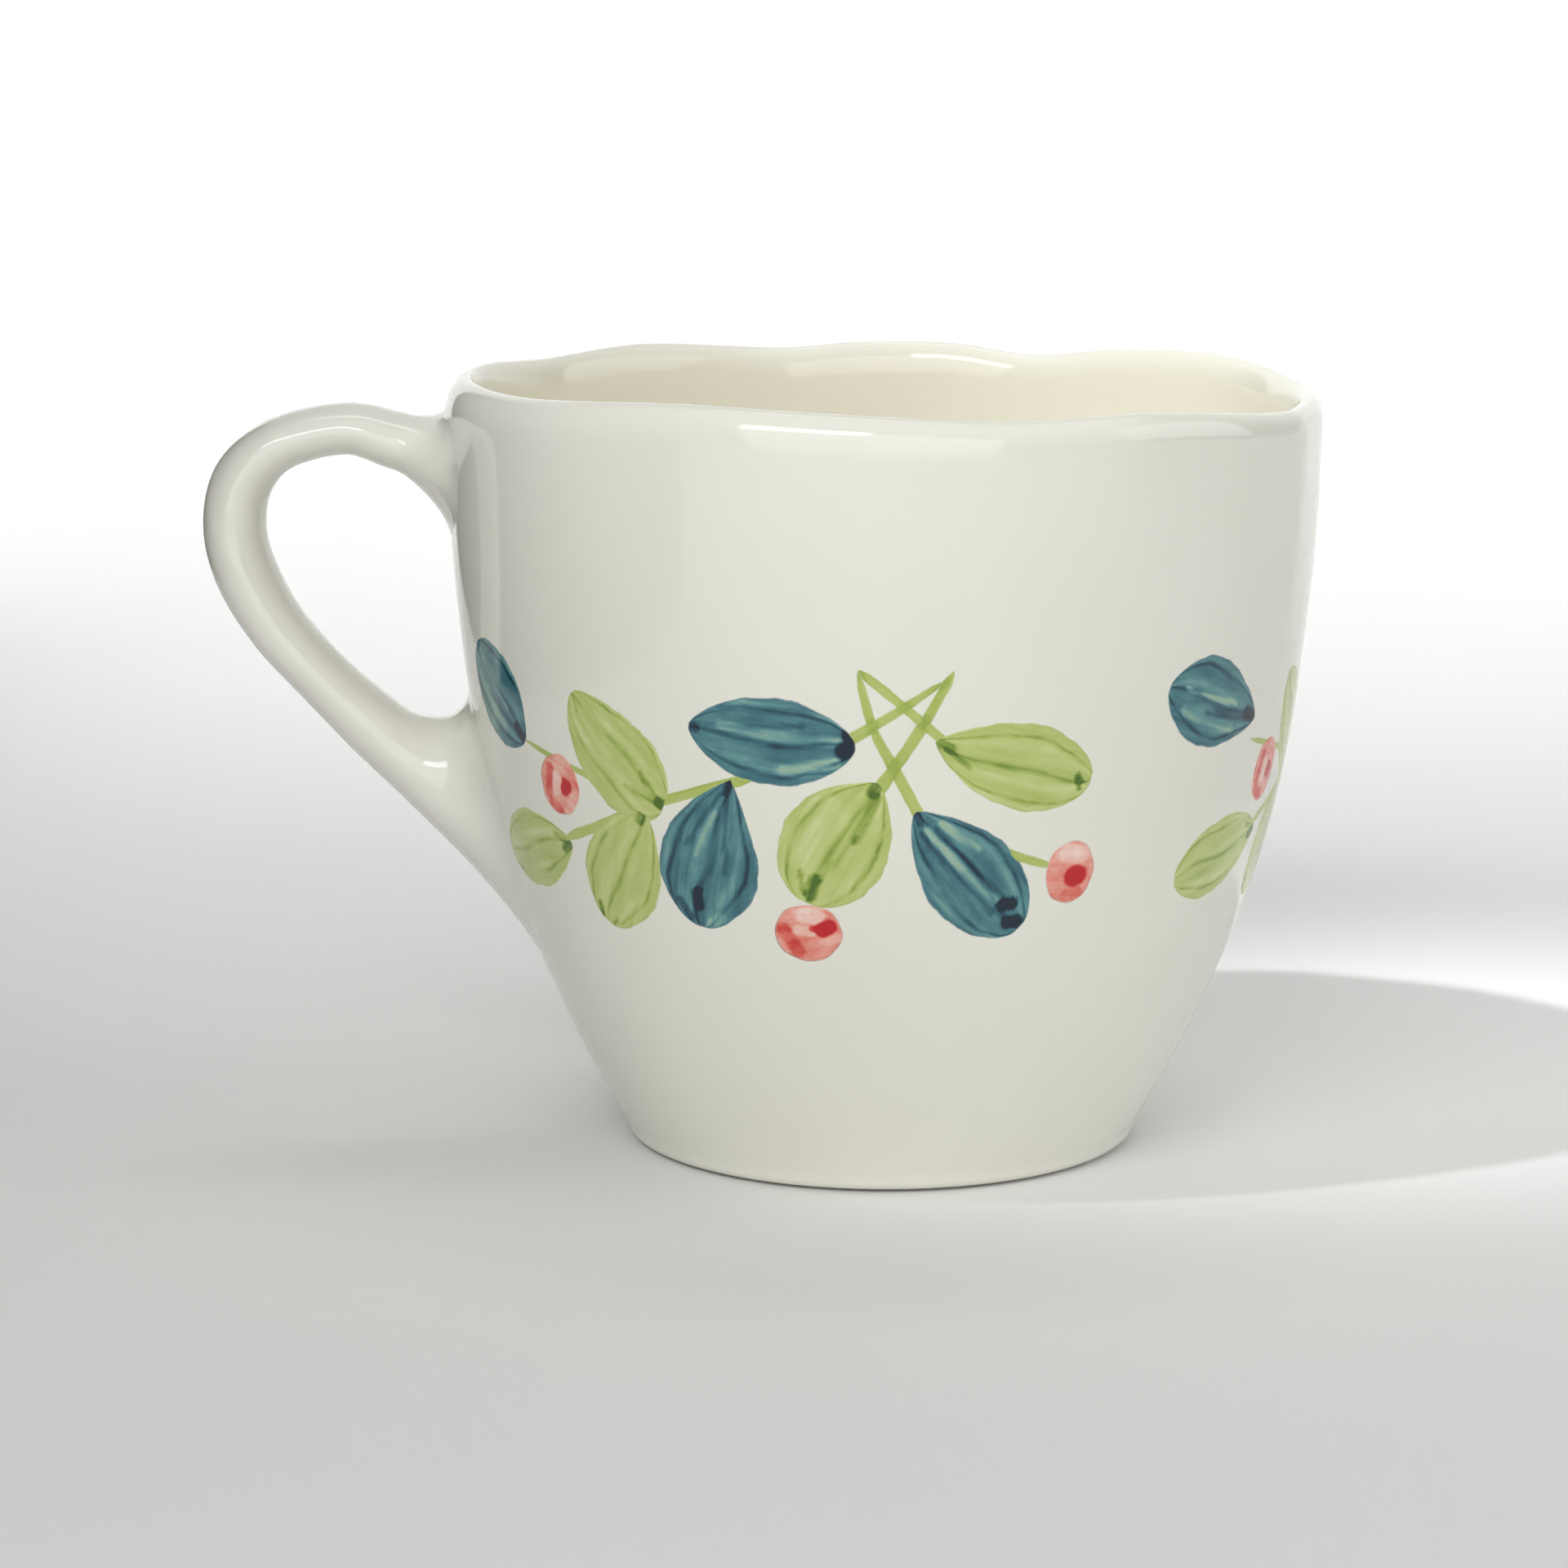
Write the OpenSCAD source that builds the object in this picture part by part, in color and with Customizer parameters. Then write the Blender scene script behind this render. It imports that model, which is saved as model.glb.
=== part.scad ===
// Large stoneware mug with a pinched, wavy lip, a pulled loop handle and hand-painted leaf sprigs.
// The origin is on the mug's axis at table level, +Z is up and the handle points along -X.

/* [Body] */
// Mean height of the lip above the table
mug_h = 100.5; // [85:0.5:115]
// Outer diameter at the mouth
mouth_d = 114; // [104:1:120]
// Outer diameter of the body at table level
foot_d = 66; // [58:1:74]
// Thickness of the side wall, and of the round lip
wall = 4; // [3.5:0.25:5]
// Height of the cup's floor above the table
floor_z = 7; // [6:0.5:9]
// Flat part of the cup's floor, as a radius
floor_flat_r = 22; // [16:1:24]

/* [Lip] */
// How strongly the lip waves up and down, as a share of the hand-pinched wave
wave_share = 1; // [0:0.1:1.3]
// Height of the lip's rounding
lip_rise = 3; // [2:0.25:4]
// How far the wave reaches down from the lip
wave_reach = 40; // [25:1:50]
// How far the wall leans out for each millimetre that the lip is pinched down
wave_lean = 0.15; // [0:0.05:0.4]

/* [Foot] */
// Height of the bare clay foot ring, and depth of the hollow under the foot
foot_h = 1.6; // [1:0.1:2.5]
// Width of the foot ring across its wall
foot_w = 5; // [4:0.5:7]
// How far the foot ring is set in from the body's outside
foot_inset = 2.6; // [2:0.1:4]
// Chamfer on the foot ring's two lower edges
foot_chamfer = 0.5; // [0.3:0.1:0.8]
// Gap between the glazed lower edge and the table
edge_gap = 0.4; // [0.2:0.1:0.8]
// Radius of the glazed lower edge
edge_r = 1.6; // [1:0.1:2]

/* [Handle joins] */
// Middle height of the upper join on the wall
upper_z = 88; // [86:0.5:89]
// Half height of the upper join on the wall
upper_half_h = 9; // [7:0.5:10]
// Half width of the upper join on the wall
upper_half_w = 17; // [12:0.5:18]
// Middle height of the lower join on the wall
lower_z = 41.5; // [40:0.5:45]
// Half height of the lower join on the wall
lower_half_h = 20; // [14:0.5:21]
// Half width of the lower join on the wall
lower_half_w = 16.5; // [12:0.5:18]

/* [Painting] */
// Thickness of the painted film
paint_t = 0.15; // [0.1:0.01:0.3]
// Half width of a painted stem
stem_half_w = 0.8; // [0.4:0.05:1.2]

/* [Hidden] */

glaze = [0.90, 0.90, 0.85];
bare_clay = [0.76, 0.68, 0.58];
teal = [0.17, 0.36, 0.42];
leaf_green = [0.62, 0.68, 0.34];
stem_green = [0.50, 0.58, 0.22];
berry_red = [0.80, 0.36, 0.34];

mouth_r = mouth_d / 2;
foot_r = foot_d / 2;
lip_r = wall / 2;
lip_z = mug_h - lip_rise;
foot_outer = foot_r - foot_inset;
foot_gap = 0.1;       // clearance between the foot ring and the glazed edge round it
floor_corner_h = 11;  // height of the hollow between the cup's floor and its wall
around = 96;          // points round the body
handle_around = 20;   // points round the handle
front = 270;          // direction of the front, in degrees from +X
sink = 0.6;           // depth by which the handle joins are let into the wall
inner_share = 0.9;    // share of a join's oval from which the wall's slope is read outwards
under_wall = 0.05;    // depth by which the paint reaches under the wall's true surface
stem_band = [42, 74]; // lowest and highest place of the painted stems

// Outer profile: share of the mug's height, share of the growth from the foot to the mouth.
profile = [[0, 0], [0.16, 0.35], [0.34, 0.65], [0.52, 0.835], [0.76, 0.96], [1, 1]];

// Lip wave, as pinched by hand: direction in degrees from +X, height above the mean lip.
pinches = [
    [0, -1.3], [14, -0.6], [34, 0.7], [52, 0.2], [66, -1.1], [78, 0.2], [92, 0.35], [104, -0.3],
    [126, 0.9], [146, 0], [162, 0.6], [180, 0.6], [212, 0.1], [243, 1], [266, 0.2], [285, -0.65],
    [304, -0.3], [333, -2]
];

// Middle line of the handle, from the upper join to the lower one:
// x, z, half thickness in the loop's plane, half width across it.
handle_line = [
    [-63, 92.2, 3.75, 6.6], [-70, 93.9, 3.4, 6.2], [-78.6, 91.9, 3.5, 6.1], [-83.4, 87.5, 3.95, 6.2],
    [-84.8, 81.5, 4.1, 6.3], [-83.5, 75.1, 4.1, 6.3], [-79.4, 67.7, 3.9, 6.2], [-73.1, 60.6, 3.75, 6.3],
    [-67.4, 55.1, 4.2, 6.8]
];
steps_per_span = 4;
// How far each join's flare leaves along the handle, and how far it arrives along the wall:
// on its outer side, on its inner side and on its flanks.
upper_leave = [6, 8, 8];
upper_arrive = [7, 12, 16];
lower_leave = [30, 20, 24];
lower_arrive = [30, 18, 26];

// Directions of the three painted sprigs' middles, in degrees round from the front, to the right.
sprig_turns = [0, 115, 220];

// Leaves of a sprig. Each has its stem end and its tip, as degrees from the sprig's middle and height,
// then its half width, the place of its widest point from stem end to tip, its bend in millimetres, and
// the sharpness of its stem end and of its tip, where 0.5 is round and 0.8 is pointed.
teal_leaves = [
    [-4.5, 61.2, -26.7, 62.8, 5.6, 0.5, -0.6, 0.56, 0.64],
    [-21, 56.6, -27.6, 36.8, 6.8, 0.6, 0.6, 0.7, 0.5],
    [3, 53.1, 18.6, 37.4, 5.9, 0.58, 0.5, 0.56, 0.48]
];
// The outermost teal leaf of each of the three sprigs.
outer_leaves = [
    [-57, 57.5, -70.5, 67.9, 6.2, 0.5, 0, 0.6, 0.5],
    [-57, 60.5, -77, 66.5, 5.8, 0.6, 0, 0.5, 0.6],
    [-56, 59, -71, 67.5, 5, 0.55, 0, 0.6, 0.55]
];
green_leaves = [
    [-31.2, 52.2, -45.2, 65.4, 6.1, 0.42, -1.2, 0.52, 0.58],
    [-34.6, 51.3, -45, 35.5, 6, 0.55, 0, 0.6, 0.48],
    [-49.5, 45.3, -70.5, 41.2, 5.2, 0.55, 0, 0.55, 0.5],
    [-1.4, 56.6, -11.6, 41, 6.9, 0.56, 0.6, 0.62, 0.46],
    [5.4, 61.8, 27, 56.2, 5.5, 0.56, 0.5, 0.62, 0.48]
];
// Berries: middle, as degrees and height, half width, half height, lean in degrees.
berries = [[-50.2, 52.9, 3.8, 4.2, 20], [-11.6, 37.1, 4.2, 3.9, -10], [25.3, 44.3, 3.4, 4.1, 5]];
// Stems, in groups that are laid onto the wall from one direction: that direction in degrees from the
// sprig's middle, then each stroke's points as degrees and height.
stem_groups = [
    [-40, [
        [[-58, 57.9], [-42, 54.4], [-33, 52.4]],
        [[-51.5, 45.6], [-41, 49.2], [-33, 52.4], [-17.5, 57]]
    ]],
    [1, [
        [[-4.4, 70.6], [0.6, 66.7], [7, 61.4]], [[-4.4, 70.6], [-2.4, 63.4], [0.3, 58.4], [3.9, 52]],
        [[7.7, 70.6], [3.4, 63], [-2, 55.2]], [[6.4, 69.2], [0.6, 65.4], [-5.4, 61.9]]
    ]],
    [18, [[[13.6, 48], [18, 46.6], [22, 45.4]]]]
];

// ---- Curves ----

function clamp01(t) = max(0, min(1, t));
function smooth(t) = let (c = clamp01(t)) c * c * (3 - 2 * c);
function mix(a, b, t) = a + (b - a) * t;

// Slope of a curve through [x, y] points at point i.
function slope_at(p, i) =
    let (a = p[max(0, i - 1)], b = p[min(len(p) - 1, i + 1)])
    (b[1] - a[1]) / (b[0] - a[0]);

// Height at x of the smooth curve through [x, y] points.
function curve_at(p, x, i = 0) =
    i < len(p) - 2 && x > p[i + 1][0] ? curve_at(p, x, i + 1) :
    let (
        w = p[i + 1][0] - p[i][0],
        t = clamp01((x - p[i][0]) / w),
        m0 = slope_at(p, i) * w,
        m1 = slope_at(p, i + 1) * w
    )
    hermite(p[i][1], p[i + 1][1], m0, m1, t);

// Cubic from a to b that leaves along ma and arrives along mb, for numbers or points.
function hermite(a, b, ma, mb, t) =
    (2 * t * t * t - 3 * t * t + 1) * a + (t * t * t - 2 * t * t + t) * ma
    + (3 * t * t - 2 * t * t * t) * b + (t * t * t - t * t) * mb;

// Smooth path through points, with n steps from each point to the next.
function path_through(p, n) = [
    for (i = [0 : len(p) - 2], k = [0 : n - 1]) path_point(p, i, k / n),
    p[len(p) - 1]
];
function path_point(p, i, t) =
    let (
        last = len(p) - 1,
        ma = (p[i + 1] - p[max(0, i - 1)]) / (i == 0 ? 1 : 2),
        mb = (p[min(last, i + 2)] - p[i]) / (i + 1 == last ? 1 : 2)
    )
    hermite(p[i], p[i + 1], ma, mb, t);

function unit(v) = v / norm(v);

// ---- Wall ----

function outer_r(z) = mix(foot_r, mouth_r, curve_at(profile, clamp01(z / mug_h)));
function outer_lean(z) = outer_r(z + 0.5) - outer_r(z - 0.5);
function inner_r(z) = outer_r(z) - wall * sqrt(1 + pow(outer_lean(z), 2));

last_pinch = pinches[len(pinches) - 1];
closed_pinches = concat([[last_pinch[0] - 360, last_pinch[1]]], pinches, [
    for (p = [pinches[0], pinches[1]]) [p[0] + 360, p[1]]
]);
function lip_wave(a) = wave_share * curve_at(closed_pinches, a - 360 * floor(a / 360), 0);

// A point of the profile (r, z) turned to direction a, with the lip's wave added.
function waved(r, z, a) =
    let (
        lift = lip_wave(a) * smooth((z - mug_h + wave_reach) / wave_reach),
        rr = r - wave_lean * lift
    )
    [rr * cos(a), rr * sin(a), z + lift];

// A point on the outer wall, or off it by the given amount.
function wall_point(a, z, off = 0) = waved(outer_r(z) + off, z, a);

// ---- Solids ----

// Closed solid through rings of points, with a middle point at each end.
module loft(rings, start, end) {
    n = len(rings[0]);
    m = len(rings);
    points = concat([for (r = rings, p = r) p], [start, end]);
    side = [
        for (i = [0 : m - 2], j = [0 : n - 1])
            let (a = i * n + j, b = i * n + (j + 1) % n, c = b + n, d = a + n)
            each [[a, d, c], [a, c, b]]
    ];
    first = [for (j = [0 : n - 1]) [m * n, j, (j + 1) % n]];
    top = (m - 1) * n;
    last = [for (j = [0 : n - 1]) [m * n + 1, top + (j + 1) % n, top + j]];
    polyhedron(points = points, faces = concat(side, first, last), convexity = 6);
}

function ring_of(r, z) = [for (j = [0 : around - 1]) waved(r, z, 360 * j / around)];

module mug_body() {
    corner_z = floor_z + floor_corner_h;
    outer_steps = 15;
    inner_steps = 12;
    corner_steps = 4;
    edge_steps = 4;
    edge_top = edge_gap + edge_r;
    edge_middle = outer_r(edge_top) - edge_r;
    edge = [
        for (i = [0 : edge_steps - 1])
            let (f = 90 * i / edge_steps) [edge_middle + edge_r * sin(f), edge_top - edge_r * cos(f)]
    ];
    hollow_r = foot_outer + foot_gap;
    outside = [
        for (i = [0 : outer_steps])
            let (z = mix(edge_top, lip_z, i / outer_steps)) [outer_r(z), z]
    ];
    middle_r = outer_r(lip_z) - lip_r;
    lip = [for (f = [30 : 30 : 150]) [middle_r + lip_r * cos(f), lip_z + lip_rise * sin(f)]];
    inside = [
        for (i = [0 : inner_steps])
            let (z = mix(lip_z, corner_z, i / inner_steps)) [inner_r(z), z]
    ];
    knee = [inner_r(corner_z) - outer_lean(corner_z) * (corner_z - floor_z), floor_z];
    corner = [
        for (i = [1 : corner_steps])
            let (t = i / corner_steps)
            (1 - t) * (1 - t) * [inner_r(corner_z), corner_z] + 2 * t * (1 - t) * knee
            + t * t * [floor_flat_r, floor_z]
    ];
    hollow = [[hollow_r, foot_h], [hollow_r, edge_gap + foot_gap]];
    outline = concat(hollow, edge, outside, lip, inside, corner);
    color(glaze)
        loft([for (p = outline) ring_of(p[0], p[1])], [0, 0, foot_h], [0, 0, floor_z]);
}

module foot_ring() {
    inner = foot_outer - foot_w;
    c = foot_chamfer;
    color(bare_clay)
        rotate_extrude($fn = around)
            polygon([
                [inner, c], [inner + c, 0], [foot_outer - c, 0], [foot_outer, c], [foot_outer, foot_h],
                [inner, foot_h]
            ]);
}

// Oval ring round a point of the handle's middle line, square to its direction.
function handle_ring(p, dir) =
    let (n = [dir[1], 0, -dir[0]])
    [
        for (j = [0 : handle_around - 1])
            let (f = 360 * j / handle_around)
            [p[0], 0, p[1]] + p[2] * cos(f) * n + [0, p[3] * sin(f), 0]
    ];
handle_path = path_through(handle_line, steps_per_span);
last_step = len(handle_path) - 1;
function handle_dir(i) =
    let (a = handle_path[max(0, i - 1)], b = handle_path[min(last_step, i + 1)])
    unit([b[0] - a[0], b[1] - a[1]]);

module handle() {
    rings = [for (i = [0 : last_step]) handle_ring(handle_path[i], handle_dir(i))];
    first = handle_path[0];
    last = handle_path[last_step];
    color(glaze) loft(rings, [first[0], 0, first[1]], [last[0], 0, last[1]]);
}

// A point of the wall behind the handle, at half breadth y and height z.
function behind_handle(y, z) = wall_point(180 - asin(y / outer_r(z)), z, -sink);

// Rings that flare from the handle's section to an oval on the wall, handle end first.
// up is 1 where the handle's outer side meets the top of the oval, and -1 where it meets the bottom.
// leave and arrive give the flare's fullness as [outer side, inner side, flanks].
function flare(ring, dir, z, half_h, half_w, up, leave, arrive, steps) = [
    for (i = [0 : steps])
        [
            for (j = [0 : handle_around - 1])
                let (
                    f = 360 * j / handle_around,
                    share = [pow(max(0, cos(f)), 2), pow(min(0, cos(f)), 2), pow(sin(f), 2)],
                    y = half_w * sin(f),
                    dz = up * half_h * cos(f),
                    foot = behind_handle(y, z + dz),
                    inner_foot = behind_handle(inner_share * y, z + inner_share * dz),
                    outwards = unit(foot - inner_foot),
                    away = (leave * share) * [dir[0], 0, dir[1]]
                )
                hermite(ring[j], foot, away, (arrive * share) * outwards, i / steps)
        ]
];

module upper_handle_join() {
    p = handle_path[0];
    dir = handle_dir(0);
    steps = 6;
    rings = flare(handle_ring(p, dir), -dir, upper_z, upper_half_h, upper_half_w, 1,
        upper_leave, upper_arrive, steps);
    color(glaze)
        loft([for (i = [steps : -1 : 0]) rings[i]], behind_handle(0, upper_z), [p[0], 0, p[1]]);
}

module lower_handle_join() {
    p = handle_path[last_step];
    dir = handle_dir(last_step);
    steps = 9;
    rings = flare(handle_ring(p, dir), dir, lower_z, lower_half_h, lower_half_w, -1,
        lower_leave, lower_arrive, steps);
    color(glaze) loft(rings, [p[0], 0, p[1]], behind_handle(0, lower_z));
}

// ---- Painting ----

// A painted patch on the wall: middles are [degrees, height] points of its middle line, widths its
// half widths there. It stands off the wall in the middle and thins to nothing at its edges.
module film(middles, widths, turn) {
    across = 4;
    n = len(middles);
    mm = outer_r(middles[floor(n / 2)][1]) * PI / 180;
    flat = [for (p = middles) [p[0] * mm, p[1]]];
    sides = concat(
        [for (k = [0 : across]) [2 * k / across - 1, 1]],
        [for (k = [across - 1 : -1 : 1]) [2 * k / across - 1, -1]]
    );
    rings = [
        for (i = [1 : n - 2])
            let (dir = unit(flat[i + 1] - flat[i - 1]), side = [dir[1], -dir[0]])
            [
                for (s = sides)
                    let (
                        q = flat[i] + s[0] * widths[i] * side,
                        off = s[1] > 0 ? paint_t * (1 - pow(s[0], 4)) : -under_wall
                    )
                    wall_point(front + turn + q[0] / mm, q[1], off)
            ]
    ];
    loft([for (i = [n - 3 : -1 : 0]) rings[i]],
        wall_point(front + turn + middles[n - 1][0], middles[n - 1][1]),
        wall_point(front + turn + middles[0][0], middles[0][1]));
}

// Leaf: stem end, tip, half width, place of the widest point, bend, sharpness at the stem end and tip.
module leaf(l, turn) {
    steps = 8;
    mm = outer_r((l[1] + l[3]) / 2) * PI / 180;
    from = [l[0] * mm, l[1]];
    to = [l[2] * mm, l[3]];
    across = unit([to[1] - from[1], from[0] - to[0]]);
    power = ln(0.5) / ln(l[5]);
    ts = [for (i = [0 : steps]) i / steps];
    flat = [for (t = ts) mix(from, to, t) + l[6] * 4 * t * (1 - t) * across];
    film([for (p = flat) [p[0] / mm, p[1]]],
        [for (t = ts) l[4] * pow(sin(180 * pow(t, power)), mix(l[7], l[8], t))], turn);
}

// Berry: middle, half width, half height, lean.
module berry(b, turn) {
    steps = 8;
    mm = outer_r(b[1]) * PI / 180;
    fs = [for (i = [0 : steps]) 180 * i / steps];
    film([for (f = fs) [b[0] + b[3] * cos(f) * sin(b[4]) / mm, b[1] - b[3] * cos(f) * cos(b[4])]],
        [for (f = fs) b[2] * sin(f)], turn);
}

module sprig_leaves(leaves, turn) {
    for (l = leaves) leaf(l, turn);
}

module sprig_berries(turn) {
    color(berry_red) for (b = berries) berry(b, turn);
}

// The painted film as a whole band round the wall.
module painted_band() {
    steps = 6;
    zs = [for (i = [0 : steps]) mix(stem_band[0], stem_band[1], i / steps)];
    rotate_extrude($fn = around)
        polygon(concat(
            [for (z = zs) [outer_r(z) + paint_t, z]],
            [for (i = [steps : -1 : 0]) [outer_r(zs[i]) - under_wall, zs[i]]]
        ));
}

// Brush stroke through flat points.
module stroke(points) {
    for (i = [0 : len(points) - 2]) {
        run = points[i + 1] - points[i];
        translate(points[i])
            rotate(atan2(run[1], run[0]))
                translate([0, -stem_half_w]) square([norm(run), 2 * stem_half_w]);
    }
}

module sprig_stems(turn) {
    color(stem_green)
        for (g = stem_groups)
            intersection() {
                painted_band();
                rotate([90, 0, front + turn + g[0] + 90])
                    linear_extrude(height = mouth_r + wall)
                        for (points = g[1])
                            stroke([for (p = points) [outer_r(p[1]) * sin(p[0] - g[0]), p[1]]]);
            }
}

module teal_sprig_leaves(k) {
    color(teal) sprig_leaves(concat(teal_leaves, [outer_leaves[k]]), sprig_turns[k]);
}

module green_sprig_leaves(k) {
    color(leaf_green) sprig_leaves(green_leaves, sprig_turns[k]);
}

mug_body();
foot_ring();
handle();
upper_handle_join();
lower_handle_join();
sprig_stems(sprig_turns[0]);  // front_sprig_stems
teal_sprig_leaves(0);  // front_sprig_teal_leaves
green_sprig_leaves(0);  // front_sprig_green_leaves
sprig_berries(sprig_turns[0]);  // front_sprig_berries
sprig_stems(sprig_turns[1]);  // right_sprig_stems
teal_sprig_leaves(1);  // right_sprig_teal_leaves
green_sprig_leaves(1);  // right_sprig_green_leaves
sprig_berries(sprig_turns[1]);  // right_sprig_berries
sprig_stems(sprig_turns[2]);  // back_sprig_stems
teal_sprig_leaves(2);  // back_sprig_teal_leaves
green_sprig_leaves(2);  // back_sprig_green_leaves
sprig_berries(sprig_turns[2]);  // back_sprig_berries
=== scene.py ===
import math

import bmesh
import bpy
import numpy as np
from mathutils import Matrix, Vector


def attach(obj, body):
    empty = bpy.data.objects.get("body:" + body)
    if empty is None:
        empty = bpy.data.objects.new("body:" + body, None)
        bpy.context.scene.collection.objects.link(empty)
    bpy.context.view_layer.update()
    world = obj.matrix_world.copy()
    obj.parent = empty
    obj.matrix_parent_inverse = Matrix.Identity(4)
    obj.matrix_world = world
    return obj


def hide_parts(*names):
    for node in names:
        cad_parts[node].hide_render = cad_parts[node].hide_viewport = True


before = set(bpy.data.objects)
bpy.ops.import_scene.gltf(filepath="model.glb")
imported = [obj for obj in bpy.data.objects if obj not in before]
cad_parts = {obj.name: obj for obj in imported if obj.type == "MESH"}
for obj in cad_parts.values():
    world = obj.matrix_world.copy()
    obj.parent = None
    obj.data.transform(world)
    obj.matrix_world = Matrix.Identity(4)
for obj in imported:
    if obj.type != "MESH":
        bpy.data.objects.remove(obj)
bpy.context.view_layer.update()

# Lengths are in millimetres and angles in degrees, as in the CAD source, until a mesh is made.
MM = 0.001

# ---- The body's dimensions, as in the CAD source ----
MUG_H = 100.5
MOUTH_R = 57.0
FOOT_R = 33.0
WALL = 4.0
FLOOR_Z = 7.0
FLOOR_FLAT_R = 22.0
FLOOR_CORNER_H = 11.0
WAVE_REACH = 40.0
WAVE_LEAN = 0.15
FOOT_H = 1.6
FOOT_W = 5.0
FOOT_INSET = 2.6
FOOT_GAP = 0.1
EDGE_GAP = 0.4
EDGE_R = 1.6
FRONT = 270.0
# Outer profile: share of the height, share of the growth from the foot to the mouth.
PROFILE = [(0, 0), (0.16, 0.35), (0.34, 0.65), (0.52, 0.835), (0.76, 0.96), (1, 1)]
# Lip wave: direction in degrees from +X, height above the mean lip.
PINCHES = [
    (0, -1.3), (14, -0.6), (34, 0.7), (52, 0.2), (66, -1.1), (78, 0.2), (92, 0.35), (104, -0.3),
    (126, 0.9), (146, 0), (162, 0.6), (180, 0.6), (212, 0.1), (243, 1), (266, 0.2), (285, -0.65),
    (304, -0.3), (333, -2),
]

# ---- The body's finer shape, which only the looks have ----
# Ridges that the pinching leaves in the upper wall: direction, height, half width in degrees, reach down.
RIDGES = [
    (28, 0.5, 9, 40), (82, 0.45, 8, 38), (128, 0.4, 9, 42), (222, 0.25, 10, 40), (246, 0.25, 9, 36),
    (301, 0.45, 7, 52), (334, 0.75, 5, 42),
]
# Share of the outer wall's relief that shows inside, and the height of its slow swell.
INNER_RELIEF = 0.6
SWELL_H = 0.1
# Outer half width and height of the lip's rounding: direction, half width, height.
LIP_SHAPE = [
    (0, 2, 3.2), (150, 2, 3.2), (190, 3, 5), (225, 2.8, 4.4), (275, 2.4, 3.8), (320, 2, 3.2), (360, 2, 3.2),
]
LIP_INNER_H = 4.5

# ---- The handle's dimensions, as in the CAD source ----
# Middle line: x, z, half thickness in the loop's plane, half width across it.
HANDLE_LINE = [
    (-63, 92.2, 3.75, 6.6), (-70, 93.9, 3.4, 6.2), (-78.6, 91.9, 3.5, 6.1), (-83.4, 87.5, 3.95, 6.2),
    (-84.8, 81.5, 4.1, 6.3), (-83.5, 75.1, 4.1, 6.3), (-79.4, 67.7, 3.9, 6.2), (-73.1, 60.6, 3.75, 6.3),
    (-67.4, 55.1, 4.2, 6.8),
]
# Each join: middle height, half height, half width, side of the oval that the outer side meets, how far the
# flare leaves along the handle and arrives along the wall as (outer side, inner side, flanks), and its steps.
UPPER_JOIN = (88.0, 9.0, 17.0, 1, (6, 8, 8), (7, 12, 16), 28)
LOWER_JOIN = (41.5, 20.0, 16.5, -1, (30, 20, 24), (30, 18, 26), 44)
# How deep the joins' edge lies in the wall. It is less than in the CAD source, so that the seam is soft.
JOIN_SINK = 0.03

# ---- The painting, as in the CAD source ----
SPRIG_NAMES = ["front", "right", "back"]
SPRIG_TURNS = [0, 115, 220]
# Leaf: stem end and tip as degrees and height, half width, place of the widest point, bend, and the
# sharpness of the stem end and of the tip, where 0.5 is round and 0.8 is pointed.
TEAL_LEAVES = [
    (-4.5, 61.2, -26.7, 62.8, 5.6, 0.5, -0.6, 0.56, 0.64),
    (-21, 56.6, -27.6, 36.8, 6.8, 0.6, 0.6, 0.7, 0.5),
    (3, 53.1, 18.6, 37.4, 5.9, 0.58, 0.5, 0.56, 0.48),
]
OUTER_LEAVES = [
    (-57, 57.5, -70.5, 67.9, 6.2, 0.5, 0, 0.6, 0.5),
    (-57, 60.5, -77, 66.5, 5.8, 0.6, 0, 0.5, 0.6),
    (-56, 59, -71, 67.5, 5, 0.55, 0, 0.6, 0.55),
]
GREEN_LEAVES = [
    (-31.2, 52.2, -45.2, 65.4, 6.1, 0.42, -1.2, 0.52, 0.58),
    (-34.6, 51.3, -45, 35.5, 6, 0.55, 0, 0.6, 0.48),
    (-49.5, 45.3, -70.5, 41.2, 5.2, 0.55, 0, 0.55, 0.5),
    (-1.4, 56.6, -11.6, 41, 6.9, 0.56, 0.6, 0.62, 0.46),
    (5.4, 61.8, 27, 56.2, 5.5, 0.56, 0.5, 0.62, 0.48),
]
# Berry: middle as degrees and height, half width, half height, lean.
BERRIES = [(-50.2, 52.9, 3.8, 4.2, 20), (-11.6, 37.1, 4.2, 3.9, -10), (25.3, 44.3, 3.4, 4.1, 5)]
# Stem strokes: points as degrees and height, then the half width at the start and at the end.
STEMS = [
    ([(-58, 57.9), (-42, 54.4), (-33, 52.4)], 0.5, 0.85),
    ([(-51.5, 45.6), (-41, 49.2), (-33, 52.4), (-17.5, 57)], 0.85, 0.8),
    ([(-4.4, 70.6), (0.6, 66.7), (7, 61.4)], 0.7, 0.75),
    ([(-4.4, 70.6), (-2.4, 63.4), (0.3, 58.4), (3.9, 52)], 0.6, 0.95),
    ([(7.7, 70.6), (3.4, 63), (-2, 55.2)], 0.7, 0.95),
    ([(6.4, 69.2), (0.6, 65.4), (-5.4, 61.9)], 0.5, 0.9),
    ([(13.6, 48), (18, 46.6), (22, 45.4)], 0.8, 0.6),
]

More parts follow.
